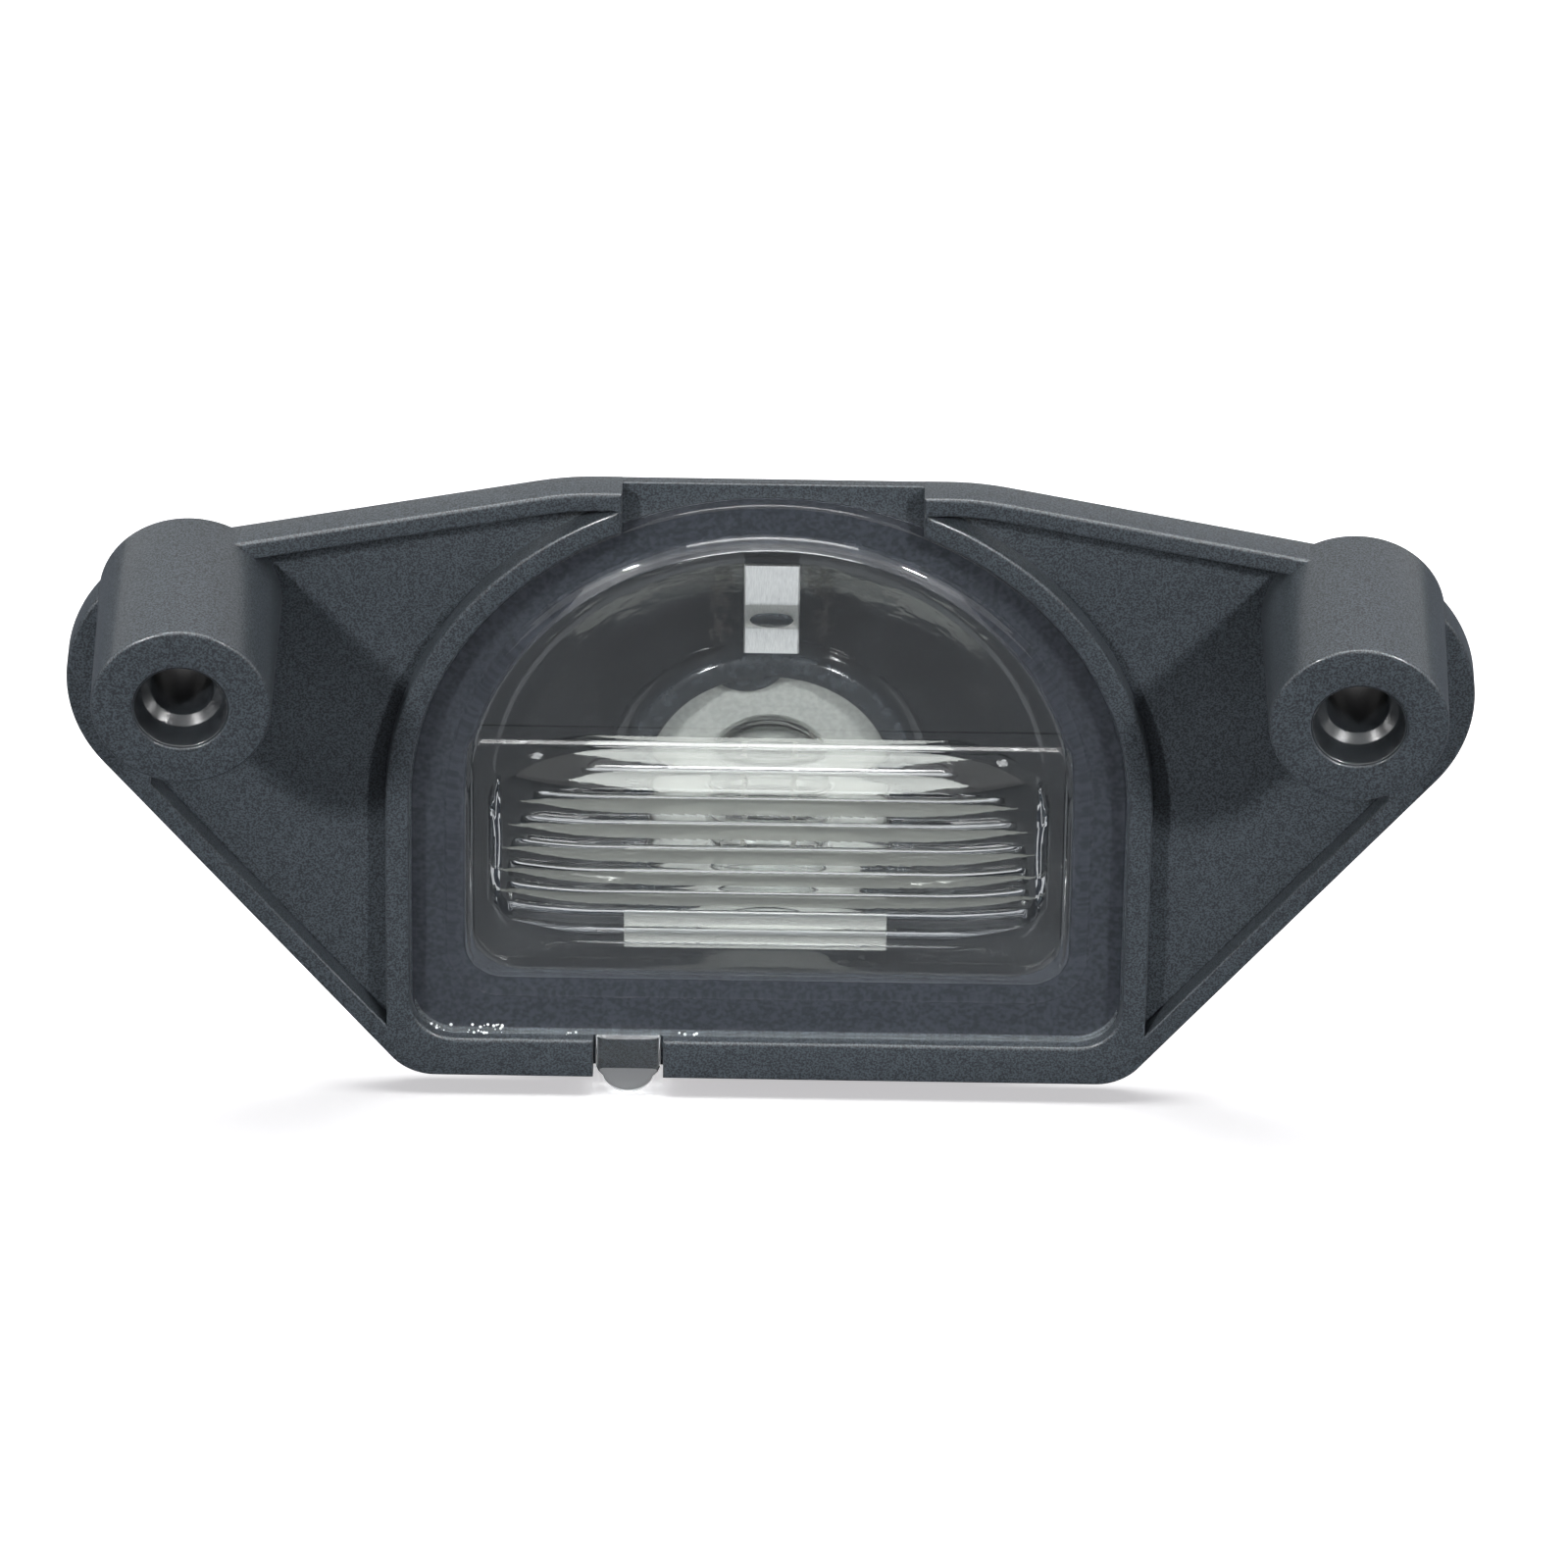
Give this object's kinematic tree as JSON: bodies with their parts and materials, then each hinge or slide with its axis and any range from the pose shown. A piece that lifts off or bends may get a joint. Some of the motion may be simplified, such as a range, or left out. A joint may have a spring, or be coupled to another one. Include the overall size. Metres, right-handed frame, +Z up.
{
  "type": "number plate lamp",
  "caption": "Shield-shaped number plate lamp with two tall screw bosses, a bonded clear arched lens with a fluted window, and a twist-in wedge bulb socket at the rear.",
  "frame": {"origin": "midway between the axes of the two screws, on the mounting plane at the back of the flange", "axes": "+X runs along the lamp through both screws, +Z is up, and the lens and the bosses face -Y"},
  "size_m": [0.1166, 0.0559, 0.0604],
  "materials": {
    "housing": "fine grain, moulded",
    "lens": "clear moulded plastic",
    "clip": "bright spring steel",
    "socket": "natural nylon",
    "seal": "moulded rubber",
    "bulb_glass": "clear glass",
    "filament": "tungsten coil",
    "lead": "drawn wire",
    "contact": "stamped strip"
  },
  "bodies": {
    "root": {"housing": "housing", "lens": "lens", "spring_clip": "clip", "bulb_socket": "socket", "port_seal": "seal", "bulb_glass": "bulb_glass", "bulb_filament": "filament", "bulb_lead_left": "lead", "bulb_lead_right": "lead", "contact_left": "contact", "contact_right": "contact"}
  },
  "joints": []
}
